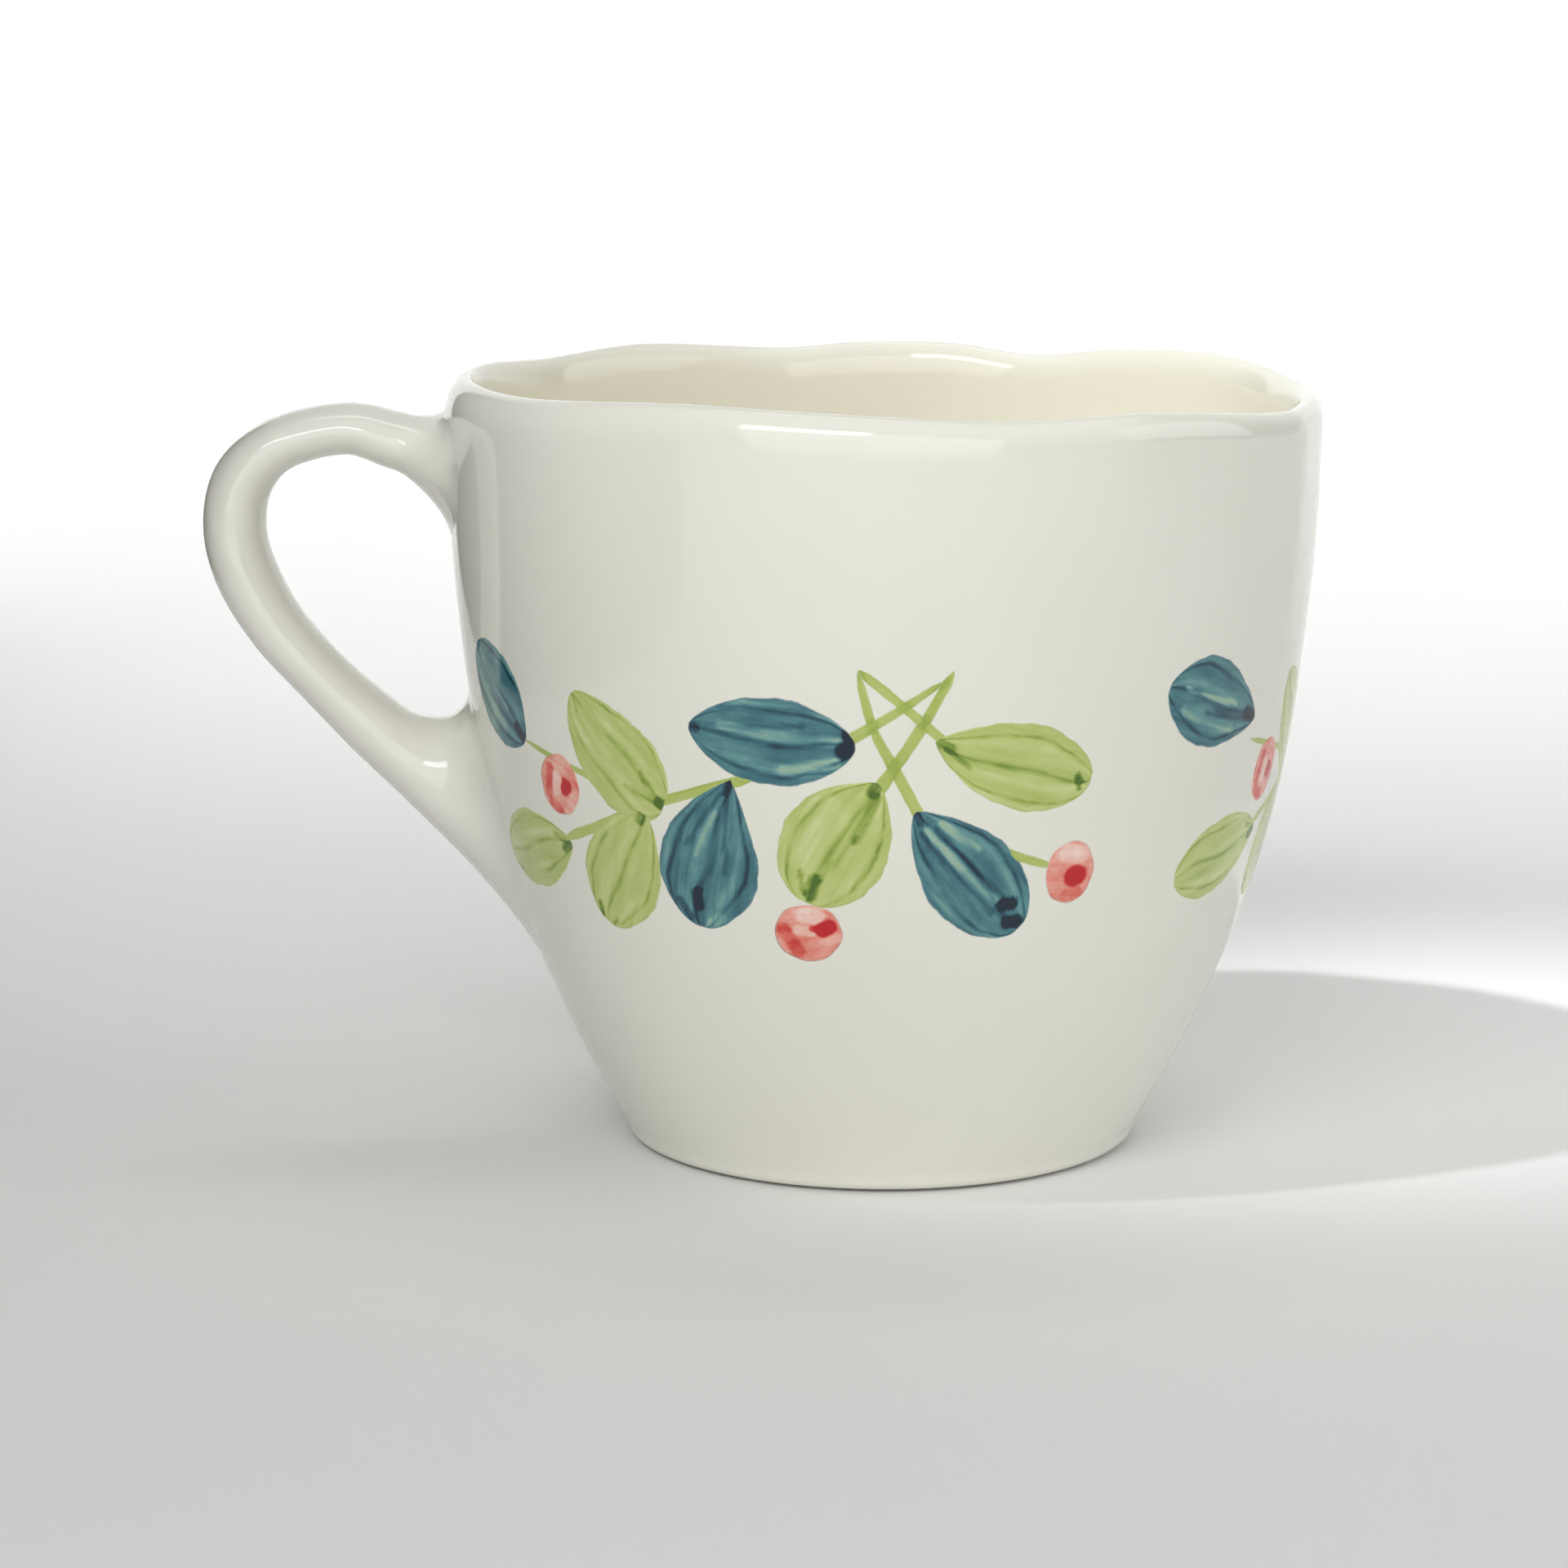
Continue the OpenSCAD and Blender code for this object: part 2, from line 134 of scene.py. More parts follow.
# Brush marks on a leaf: from and to, each as a share of the way to the tip and millimetres to the right of
# the middle line, then the radius and the strength. A negative strength is a place washed pale.
TEAL_MARKS = [
    [(0.02, 0.3, 0.07, -0.6, 1.1, 1), (0.03, 1.2, 0.05, 1.4, 0.7, 0.8), (0.3, 2.4, 0.96, 0.6, 0.3, 0.3),
     (0.12, -2.2, 0.42, -3.2, 0.7, -0.4), (0.1, 0.4, 0.8, 1.1, 0.6, -0.25), (0.95, 0, 1, 0, 0.6, 0.5)],
    [(0, 0, 0.1, 0, 0.5, 0.6), (0.78, 0.9, 0.86, 0.6, 0.7, 1), (0.86, 3.4, 0.95, 1.6, 0.5, 0.55),
     (0.12, 0.5, 0.5, 3.1, 0.3, 0.35), (0.12, -0.3, 0.6, -2.6, 0.3, 0.35),
     (0.25, 0.6, 0.55, 1.7, 0.35, -0.25), (0.9, -2.6, 0.96, -1.2, 0.7, -0.3)],
    [(0.8, -0.5, 0.84, -1.5, 0.78, 1.2), (0.91, 0.6, 0.95, -0.4, 0.8, 1.2),
     (0.14, 0.2, 0.76, -0.1, 0.5, -0.5), (0.02, 0, 0.08, 0.4, 0.45, 0.6), (0.16, -1.6, 0.42, -3, 0.5, -0.4),
     (0.13, 1, 0.8, 1.1, 0.3, 0.4), (0.16, -0.8, 0.78, -1.3, 0.3, 0.35)],
    [(0.02, 0, 0.14, 0.2, 0.8, 0.9), (0.3, 0.7, 0.85, 0.6, 0.22, -0.8), (0.1, -0.4, 0.6, -1.6, 0.4, 0.4),
     (0.3, -2.4, 0.8, -2, 0.8, -0.3)],
]
GREEN_MARKS = [
    [(0, 0, 0.04, 0, 0.8, 0.8), (0.04, 0.3, 0.26, 1.5, 0.35, 0.45), (0.03, -0.3, 0.3, -1.5, 0.35, 0.4),
     (0.88, -0.7, 0.97, -0.2, 0.3, 0.3)],
    [(0, 0, 0.08, 0, 0.7, 0.6), (0.9, 2, 0.97, 1.2, 0.4, 0.7), (0.93, -1.2, 0.97, -0.8, 0.3, 0.4)],
    [(0, 0, 0.1, -0.5, 0.6, 0.8), (0.06, 0.4, 0.16, 1.4, 0.4, 0.5), (0.3, -1, 0.9, -1.6, 0.7, 0.15)],
    [(0.01, 0.2, 0.08, 0, 0.8, 0.7), (0.1, -0.8, 0.42, -1.6, 0.7, 0.5), (0.82, 0.2, 0.93, 0, 0.9, 0.65),
     (0.8, 2.4, 0.94, 0.8, 0.35, 0.5), (0.3, 3, 0.75, 3.2, 1, -0.2), (0.42, -1.6, 0.8, -0.4, 0.35, 0.3)],
    [(0.01, 0, 0.1, 0.2, 0.7, 0.5), (0.08, 0.5, 0.24, 1.7, 0.35, 0.45), (0.9, 0.2, 0.93, 1.4, 0.35, 0.75),
     (0.9, -0.4, 0.94, 0.6, 0.3, 0.5)],
]
# Brush marks on a berry, in millimetres to the right of its middle and above it.
BERRY_MARKS = [
    [(1.2, -0.1, 1.6, 0.5, 0.8, 1.1), (0.9, 0.9, 0.9, 1, 0.4, 0.8), (-2, 1.5, -1.8, -2, 0.7, 0.4),
     (-1, -3, 0.8, -3.4, 0.7, 0.4), (-0.6, 0.8, -0.4, -0.8, 0.9, -0.4)],
    [(1.9, 0.2, 2.7, 0.5, 0.95, 1.2), (0.6, 0.5, 1.4, 0.3, 0.4, 0.8), (-3, 1, -1.8, -2.2, 0.9, 0.35),
     (0, 2.4, 1.6, 2, 1, -0.4), (-1.2, 0.6, 0.3, 0.2, 0.7, -0.3)],
    [(0.7, -0.5, 0.9, -0.4, 1.3, 1.2), (-1, 2.6, 1, 2.2, 1.2, -0.3), (0, -3, 1.4, -2.6, 0.8, 0.25)],
]

FULL_TURN = 360.0


# ---- Curves ----

def smooth(t):
    t = np.clip(t, 0.0, 1.0)
    return t * t * (3 - 2 * t)


def hermite(a, b, ma, mb, t):
    """Cubic from a to b that leaves along ma and arrives along mb."""
    return (
        (2 * t**3 - 3 * t**2 + 1) * a + (t**3 - 2 * t**2 + t) * ma
        + (3 * t**2 - 2 * t**3) * b + (t**3 - t**2) * mb
    )


def curve_at(points, x):
    """Height at x of the smooth curve through the points."""
    px, py = np.array(points, float).T
    index = np.arange(len(px))
    before, after = np.maximum(index - 1, 0), np.minimum(index + 1, len(px) - 1)
    slope = (py[after] - py[before]) / (px[after] - px[before])
    x = np.clip(x, px[0], px[-1])
    i = np.clip(np.searchsorted(px, x) - 1, 0, len(px) - 2)
    width = px[i + 1] - px[i]
    return hermite(py[i], py[i + 1], slope[i] * width, slope[i + 1] * width, (x - px[i]) / width)


def path_through(points, steps):
    """Smooth path through points of any dimension, with the given steps from each to the next."""
    p = np.array(points, float)
    last = len(p) - 1
    path = []
    for i in range(last):
        leave = (p[i + 1] - p[max(0, i - 1)]) / (1 if i == 0 else 2)
        arrive = (p[min(last, i + 2)] - p[i]) / (1 if i + 1 == last else 2)
        path += [hermite(p[i], p[i + 1], leave, arrive, k / steps) for k in range(steps)]
    return np.array(path + [p[last]])


def unit(v):
    return v / np.linalg.norm(v, axis=-1, keepdims=True)


def cosd(a):
    return np.cos(np.radians(a))


def sind(a):
    return np.sin(np.radians(a))


def ripple(x, seed):
    """Gentle irregular wave of about unit height, the same for the same seed."""
    waves = ((0.5, 1, 1.7), (0.3, 2.3, 4.1), (0.2, 4.1, 2.9))
    return sum(height * np.sin(rate * x + shift * seed) for height, rate, shift in waves)


# ---- The wall ----

def outer_r(z):
    return FOOT_R + (MOUTH_R - FOOT_R) * curve_at(PROFILE, np.asarray(z, float) / MUG_H)


def outer_lean(z):
    return outer_r(z + 0.5) - outer_r(z - 0.5)


def inner_r(z):
    return outer_r(z) - WALL * np.sqrt(1 + outer_lean(z) ** 2)


def lip_wave(a):
    last = PINCHES[-1]
    closed = [(last[0] - FULL_TURN, last[1])] + PINCHES
    closed += [(x + FULL_TURN, y) for x, y in PINCHES[:2]]
    return curve_at(closed, np.mod(a, FULL_TURN))


def relief(a, z):
    """What pinching and the potter's fingers add to the wall's radius. It closes round a full turn."""
    waves = ((0.5, 3, 2, 97), (0.3, 7, 4, 235), (0.2, 12, 8, 166))
    swell = sum(height * sind(turns * a + climb * z + start) for height, turns, climb, start in waves)
    total = SWELL_H * swell * smooth((z - 5) / 30)
    for direction, height, half_width, reach in RIDGES:
        off = (np.mod(a - direction + 180, FULL_TURN) - 180) / half_width
        ridge = np.exp(-off * off) - 0.3 * np.exp(-off * off / 9)
        total = total + height * ridge * smooth((z - MUG_H + reach) / reach)
    return total


def waved(r, z, a):
    """A point of the profile turned to direction a, with the lip's wave added."""
    lift = lip_wave(a) * smooth((z - MUG_H + WAVE_REACH) / WAVE_REACH)
    rr = r - WAVE_LEAN * lift
    return np.stack(np.broadcast_arrays(rr * cosd(a), rr * sind(a), z + lift), -1)


def wall_point(a, z, off=0.0):
    return waved(outer_r(z) + relief(a, z) + off, z, a)


# ---- Meshes ----

def tube_faces(rings, around):
    """Quads between rings of points, each ring closed."""
    i, j = np.meshgrid(np.arange(rings - 1), np.arange(around), indexing="ij")
    a, b = i * around + j, i * around + (j + 1) % around
    return np.stack([a, b, b + around, a + around], -1).reshape(-1, 4).tolist()


def closed_tube(rings, start, end):
    """Points and faces of a closed skin through rings of points, with a middle point at each end."""
    m, n = rings.shape[:2]
    points = np.concatenate([rings.reshape(-1, 3), [start, end]])
    faces = tube_faces(m, n)
    faces += [(m * n, j, (j + 1) % n) for j in range(n)]
    top = (m - 1) * n
    faces += [(m * n + 1, top + (j + 1) % n, top + j) for j in range(n)]
    return points, faces


def make_piece(name, points, faces, material, stands_for, values=None):
    """A smooth closed piece. values holds what its material reads at each point, by name; uv is a pair."""
    mesh = bpy.data.meshes.new(name)
    mesh.from_pydata((np.asarray(points) * MM).tolist(), [], faces)
    shape = bmesh.new()
    shape.from_mesh(mesh)
    bmesh.ops.recalc_face_normals(shape, faces=shape.faces)
    shape.to_mesh(mesh)
    shape.free()
    mesh.polygons.foreach_set("use_smooth", [True] * len(mesh.polygons))
    mesh.materials.append(material)
    for key, value in (values or {}).items():
        if key == "uv":
            corners = np.zeros(len(mesh.loops), int)
            mesh.loops.foreach_get("vertex_index", corners)
            layer = mesh.uv_layers.new(name="Brush")
            layer.data.foreach_set("uv", value[corners].astype(np.float32).ravel())
        else:
            layer = mesh.attributes.new(key, "FLOAT", "POINT")
            layer.data.foreach_set("value", value.astype(np.float32))
    piece = bpy.data.objects.new(name, mesh)
    bpy.context.scene.collection.objects.link(piece)
    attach(piece, "root")
    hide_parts(*stands_for)
    return piece


# ---- Materials ----

def srgb(r, g, b):
    """Linear colour from the 0-255 values of a screen colour."""
    def linear(c):
        c /= 255
        return c / 12.92 if c <= 0.04045 else ((c + 0.055) / 1.055) ** 2.4
    return (linear(r), linear(g), linear(b), 1.0)


class Nodes:
    """Builds a node material in few words."""

    def __init__(self, name, roughness, ior=1.5):
        self.material = bpy.data.materials.new(name)
        self.material.use_nodes = True
        self.tree = self.material.node_tree
        self.shader = self.tree.nodes["Principled BSDF"]
        self.shader.inputs["Roughness"].default_value = roughness
        self.shader.inputs["IOR"].default_value = ior

    def add(self, kind, settings=None, inputs=None):
        node = self.tree.nodes.new("ShaderNode" + kind)
        for key, value in (settings or {}).items():
            setattr(node, key, value)
        for key, value in (inputs or {}).items():
            self.put(node.inputs[key], value)
        return node

    def put(self, socket, value):
        if isinstance(value, bpy.types.NodeSocket):
            self.tree.links.new(value, socket)
        else:
            socket.default_value = value

    def math(self, operation, a, b=0.0, clamp=False):
        node = self.add("Math", {"operation": operation, "use_clamp": clamp}, {0: a, 1: b})
        return node.outputs[0]

    def remap(self, value, low, high, to_low=0.0, to_high=1.0):
        """Straight map of low..high to to_low..to_high, held at the ends."""
        keys = {"Value": value, "From Min": low, "From Max": high, "To Min": to_low, "To Max": to_high}
        return self.add("MapRange", {"clamp": True}, keys).outputs[0]

    def mix(self, factor, a, b):
        node = self.add("Mix", {"data_type": "RGBA"}, {0: factor, 6: a, 7: b})
        return node.outputs[2]

    def noise(self, vector, scale, detail=3.0, roughness=0.5):
        keys = {"Vector": vector, "Scale": scale, "Detail": detail, "Roughness": roughness}
        return self.add("TexNoise", None, keys).outputs["Fac"]

    def ramp(self, value, stops):
        node = self.add("ValToRGB", None, {"Fac": value})
        elements = node.color_ramp.elements
        while len(elements) < len(stops):
            elements.new(0.5)
        for element, (place, colour) in zip(elements, stops):
            element.position = place
            element.color = colour
        return node.outputs["Color"]

    def attribute(self, name):
        return self.add("Attribute", {"attribute_name": name}).outputs["Fac"]

    def place(self):
        return self.add("TexCoord").outputs["Object"]

    def colour(self, value):
        self.put(self.shader.inputs["Base Color"], value)

    def rough(self, value):
        self.put(self.shader.inputs["Roughness"], value)

    def bump(self, height, strength, distance):
        node = self.add("Bump", None, {"Height": height, "Strength": strength, "Distance": distance})
        self.put(self.shader.inputs["Normal"], node.outputs["Normal"])


GLAZE_ROUGHNESS = 0.06
GLAZE_TONE = srgb(231, 230, 219)


def glaze_material():
    """Cream white stoneware glaze: faint clouds of tone, a few iron specks and a slightly uneven skin. Inside
    the cup it is painted a brighter, warmer tone, which is painted light for the light bounced round inside
    the cup.
    """
    m = Nodes("Cream glaze", GLAZE_ROUGHNESS)
    place = m.place()
    clouds = m.noise(place, 28, 3)
    tone = m.mix(m.remap(clouds, 0.35, 0.65), srgb(228, 227, 215), GLAZE_TONE)
    # Painted light: the inside share gives the glaze a brighter, warmer tone that stands for the light
    # bounced round inside the cup.
    tone = m.mix(m.attribute("inside"), tone, srgb(235, 231, 214))
    cells = m.add("TexVoronoi", {"feature": "F1"}, {"Vector": place, "Scale": 170, "Randomness": 1.0})
    spot = m.remap(cells.outputs["Distance"], 0.03, 0.075, 1, 0)
    cell_value = m.add("SeparateColor", None, {"Color": cells.outputs["Color"]}).outputs[0]
    chosen = m.remap(cell_value, 0.015, 0.02, 1, 0)
    specks = m.math("MULTIPLY", m.math("MULTIPLY", spot, chosen), 0.55)
    m.colour(m.mix(specks, tone, srgb(120, 105, 78)))
    m.rough(m.remap(m.noise(place, 60, 2), 0.3, 0.7, GLAZE_ROUGHNESS - 0.02, GLAZE_ROUGHNESS + 0.03))
    m.bump(m.noise(place, 110, 2), 0.12, 0.0004)
    return m.material


def clay_material():
    """Bare fired clay: warm grey buff with a fine open grain."""
    m = Nodes("Bare clay", 0.85)
    place = m.place()
    grain = m.noise(place, 1400, 6, 0.65)
    tone = m.mix(m.remap(m.noise(place, 90, 3), 0.3, 0.7), srgb(196, 180, 156), srgb(212, 198, 176))
    m.colour(m.mix(m.remap(grain, 0.35, 0.6, 0.35, 0), tone, srgb(140, 118, 92)))
    m.bump(grain, 0.5, 0.0003)
    return m.material


# Where the thin veins run, as a share of the half width.
VEIN_PLACES = [-0.5, 0.02, 0.55]


def paint_material(name, base, contrast, veins, stops):
    """Brushed watery colour under the glaze. Its density follows the brush: soft streaks along the stroke,
    thin dark veins, each with a pale line beside it, that run parallel to the outline, pigment pooled at the
    outline, and the dark or washed marks of each leaf."""
    m = Nodes(name, GLAZE_ROUGHNESS)
    uv = m.add("UVMap", {"uv_map": "Brush"}).outputs["UV"]
    parts = m.add("SeparateXYZ", None, {"Vector": uv})
    along, across = parts.outputs["X"], parts.outputs["Y"]
    seed, edge, side, blot = (m.attribute(key) for key in ("seed", "edge", "side", "blot"))

    def stroke_space(along_scale, across_scale, shift):
        keys = {
            "X": m.math("MULTIPLY", along, along_scale),
            "Y": m.math("MULTIPLY", across, across_scale),
            "Z": m.math("ADD", m.math("MULTIPLY", seed, 9.7), shift),
        }
        return m.add("CombineXYZ", None, keys).outputs[0]

    streak = m.noise(stroke_space(0.09, 0.8, 0), 1.0, 4, 0.55)
    cloud = m.noise(stroke_space(0.22, 0.3, 5), 1.0, 2)
    wander = m.math("MULTIPLY", m.math("SUBTRACT", m.noise(stroke_space(0.06, 0.0, 11), 1.0, 1), 0.5), 0.8)
    wandering = m.math("ADD", side, wander)
    fading = m.remap(m.noise(stroke_space(0.2, 0.35, 29), 1.0, 2), 0.3, 0.55)
    line = 0
    for place in VEIN_PLACES:
        gap = m.math("SUBTRACT", wandering, place)
        dark = m.remap(m.math("ABSOLUTE", gap), 0.0, 0.075, 1, 0)
        pale = m.remap(m.math("ABSOLUTE", m.math("SUBTRACT", gap, 0.15)), 0.0, 0.12, 0.45, 0)
        line = m.math("ADD", line, m.math("SUBTRACT", dark, pale))
    line = m.math("MULTIPLY", line, fading)
    ragged = m.noise(stroke_space(0.9, 1.6, 23), 1.0, 3, 0.6)
    grain = m.noise(m.place(), 2600, 2)
    patchy = m.noise(stroke_space(0.3, 0.3, 17), 1.0, 2)
    pooled = m.math("MULTIPLY", m.remap(edge, 0.12, 0.5, 1, 0), m.remap(patchy, 0.35, 0.65))
    inked = m.math("MULTIPLY", blot, m.remap(ragged, 0.3, 0.6, 0.8, 1.0))
    density = m.math("ADD", base, m.math("MULTIPLY", m.math("SUBTRACT", streak, 0.5), 1.2 * contrast))
    for value, share in (
        (m.math("SUBTRACT", cloud, 0.5), 0.9 * contrast), (line, veins),
        (m.math("SUBTRACT", grain, 0.5), 0.25 * contrast), (pooled, 0.3 * contrast), (inked, 0.85),
    ):
        density = m.math("ADD", density, m.math("MULTIPLY", value, share))
    colour = m.ramp(m.math("ADD", density, 0, clamp=True), stops)
    m.colour(m.mix(m.remap(edge, 0.05, 0.3, 0.45, 0), colour, GLAZE_TONE))
    return m.material


TEAL_STOPS = [
    (0.0, srgb(150, 180, 160)), (0.25, srgb(98, 148, 148)), (0.5, srgb(62, 112, 122)),
    (0.75, srgb(40, 82, 96)), (1.0, srgb(18, 36, 52)),
]
GREEN_STOPS = [
    (0.0, srgb(212, 216, 164)), (0.25, srgb(190, 201, 128)), (0.5, srgb(170, 185, 100)),
    (0.75, srgb(128, 152, 62)), (1.0, srgb(78, 108, 34)),
]
STEM_STOPS = [
    (0.0, srgb(200, 208, 140)), (0.5, srgb(168, 184, 92)), (0.8, srgb(138, 160, 62)),
    (1.0, srgb(100, 128, 40)),
]
BERRY_STOPS = [
    (0.0, srgb(240, 212, 200)), (0.3, srgb(232, 172, 156)), (0.55, srgb(222, 122, 104)),
    (0.8, srgb(206, 66, 58)), (1.0, srgb(190, 24, 34)),
]


# ---- Pieces ----

def body():
    """The glazed cup in rings, from the foot's hollow over the outer wall and the lip to the floor inside."""
    around = 320
    a = np.arange(around) * FULL_TURN / around
    lip_half_w = curve_at([(x, w) for x, w, _ in LIP_SHAPE], a)
    lip_h = curve_at([(x, h) for x, _, h in LIP_SHAPE], a)
    rows, inside = [], []

    def row(r, z, how_far_inside=0.0):
        rows.append(waved(np.broadcast_to(r, a.shape), np.broadcast_to(z, a.shape), a))
        inside.append(np.full(around, how_far_inside))

    hollow_r = FOOT_R - FOOT_INSET + FOOT_GAP
    for share in (0.2, 0.45, 0.7, 0.9, 0.985):
        row(share * hollow_r, FOOT_H)
    for z in (FOOT_H - 0.1, 0.9, EDGE_GAP + FOOT_GAP):
        row(hollow_r, z)
    edge_z = EDGE_GAP + EDGE_R
    for f in range(0, 90, 15):
        row(outer_r(edge_z) + EDGE_R * (sind(f) - 1), edge_z - EDGE_R * cosd(f))
    for t in np.linspace(0, 1, 84):
        z = edge_z + t * (MUG_H - lip_h - edge_z)
        row(outer_r(z) + relief(a, z), z)
    crest_r = outer_r(MUG_H - lip_h) + relief(a, MUG_H - lip_h) - lip_half_w
    for f in range(9, 90, 9):
        row(crest_r + lip_half_w * cosd(f), MUG_H - lip_h * (1 - sind(f)))
    inner_w = WALL - lip_half_w
    for f in range(90, 181, 10):
        row(crest_r + inner_w * cosd(f), MUG_H - LIP_INNER_H * (1 - sind(f)), (f - 90) / 90)
    corner_z = FLOOR_Z + FLOOR_CORNER_H
    inside_top = MUG_H - LIP_INNER_H
    join = crest_r - inner_w - inner_r(inside_top)
    for t in np.linspace(0, 1, 60)[1:]:
        z = inside_top + t * (corner_z - inside_top)
        row(inner_r(z) + join * (1 - smooth(3 * t)) + INNER_RELIEF * relief(a, z) * smooth(3 * t), z, 1.0)
    start = np.array([inner_r(corner_z), corner_z])
    knee = np.array([inner_r(corner_z) - outer_lean(corner_z) * FLOOR_CORNER_H, FLOOR_Z])
    end = np.array([FLOOR_FLAT_R, FLOOR_Z])
    for t in np.linspace(0, 1, 13)[1:]:
        r, z = (1 - t) ** 2 * start + 2 * t * (1 - t) * knee + t**2 * end
        row(r + INNER_RELIEF * relief(a, corner_z) * (1 - t), z, 1.0)
    for share in np.linspace(1, 0, 12)[1:-1]:
        row(share * FLOOR_FLAT_R, FLOOR_Z, 1.0)
    points, faces = closed_tube(np.array(rows), (0, 0, FOOT_H), (0, 0, FLOOR_Z))
    # The inside share picks the glaze's brighter, warmer inside tone, which is painted light.
    values = {"inside": np.append(np.concatenate(inside), [0.0, 1.0])}
    return make_piece("glazed_body", points, faces, GLAZE, ["mug_body"], values)


def foot_ring():
    """The bare clay ring under the foot, with its edges rubbed round."""
    around = 192
    a = np.arange(around) * FULL_TURN / around
    outer = FOOT_R - FOOT_INSET
    inner = outer - FOOT_W
    edge = 0.6
    rows = [(inner, FOOT_H), (inner, 1.1)]
    rows += [(inner + edge * (1 - cosd(f)), edge * (1 - sind(f))) for f in range(0, 91, 15)]
    rows += [(outer - edge * (1 - sind(f)), edge * (1 - cosd(f))) for f in range(0, 91, 15)]
    rows += [(outer, 1.1), (outer, FOOT_H)]
    rings = []
    for r, z in rows:
        rr = r + 0.05 * ripple(np.radians(5 * a), z)
        rings.append(np.stack([rr * cosd(a), rr * sind(a), np.full_like(a, z)], -1))
    points = np.concatenate(rings)
    faces = tube_faces(len(rows), around)
    last = (len(rows) - 1) * around
    faces += [(last + j, last + (j + 1) % around, (j + 1) % around, j) for j in range(around)]
    return make_piece("clay_foot_ring", points, faces, CLAY, ["foot_ring"])


def handle_ring(p, direction, around):
    """Oval ring round a point of the handle's middle line, square to its direction."""
    f = np.arange(around)[:, None] * FULL_TURN / around
    n = np.array([direction[1], 0, -direction[0]])
    return np.array([p[0], 0, p[1]]) + p[2] * cosd(f) * n + p[3] * sind(f) * np.array([0, 1, 0])


def behind_handle(y, z):
    """A point of the wall behind the handle, at half breadth y and height z."""
    return wall_point(180 - np.degrees(np.arcsin(y / outer_r(z))), z, -JOIN_SINK)


def flare(ring, direction, join):
    """Rings that flare from the handle's section to an oval on the wall, handle end first."""
    z, half_h, half_w, up, leave, arrive, steps = join
    f = np.arange(len(ring)) * FULL_TURN / len(ring)
    share = np.stack([np.maximum(0, cosd(f)) ** 2, np.minimum(0, cosd(f)) ** 2, sind(f) ** 2], -1)
    y = half_w * sind(f)
    dz = up * half_h * cosd(f)
    foot = behind_handle(y, z + dz)
    outwards = unit(foot - behind_handle(0.9 * y, z + 0.9 * dz))
    away = (share @ np.array(leave, float))[:, None] * np.array([direction[0], 0, direction[1]])
    toward = (share @ np.array(arrive, float))[:, None] * outwards
    return [hermite(ring, foot, away, toward, i / steps) for i in range(steps + 1)]


def handle():
    """The pulled loop handle and its two joins, flared and smoothed into the wall as one skin."""
    around = 72
    path = path_through(HANDLE_LINE, 12)
    ahead = unit(np.gradient(path[:, :2], axis=0))
    rings = [handle_ring(p, d, around) for p, d in zip(path, ahead)]
    upper = flare(rings[0], -ahead[0], UPPER_JOIN)
    lower = flare(rings[-1], ahead[-1], LOWER_JOIN)
    skin = np.array(upper[:0:-1] + rings + lower[1:])
    turn = np.arange(around) * FULL_TURN / around
    middle = skin.mean(1, keepdims=True)
    along = np.arange(len(skin))[:, None] * 0.12
    fade = smooth(np.minimum(along - along[0], along[-1] - along) / 2)
    uneven = 0.012 * ripple(along + np.radians(2 * turn), 3) * fade
    skin = skin + (skin - middle) * uneven[..., None]
    inside = [behind_handle(0.0, join[0]) + np.array([0.5, 0, 0]) for join in (UPPER_JOIN, LOWER_JOIN)]
    points, faces = closed_tube(skin, inside[0], inside[1])
    return make_piece(
        "glazed_handle", points, faces, GLAZE, ["handle", "upper_handle_join", "lower_handle_join"]
    )


# ---- Painting ----

# Height at which the stems' degrees are turned into millimetres.
STEM_Z = 60.0
# The film rises from just under the glaze at its outline to its full height over this distance.
FILM_EDGE = 0.4
FILM_UNDER = 0.012
# Where the brush's own coordinates start, so that they stay above zero.
UV_START = 20.0


def film_lift(edge, height):
    """How far the painted film stands off the wall, at a distance from its outline."""
    return -FILM_UNDER + (height + FILM_UNDER) * smooth(edge / FILM_EDGE)


def mark_strength(x, y, marks, length):
    """Dark or washed brush marks at flat points, in the patch's own millimetres."""
    total = np.zeros_like(x)
    for x0, y0, x1, y1, radius, strength in marks:
        start = np.array([x0 * length, y0])
        run = np.array([x1 * length, y1]) - start
        span = max(run @ run, 1e-6)
        t = np.clip(((x - start[0]) * run[0] + (y - start[1]) * run[1]) / span, 0, 1)
        gap = np.hypot(x - start[0] - t * run[0], y - start[1] - t * run[1])
        total = total + strength * (1 - smooth((gap - 0.7 * radius) / (0.6 * radius)))
    return total


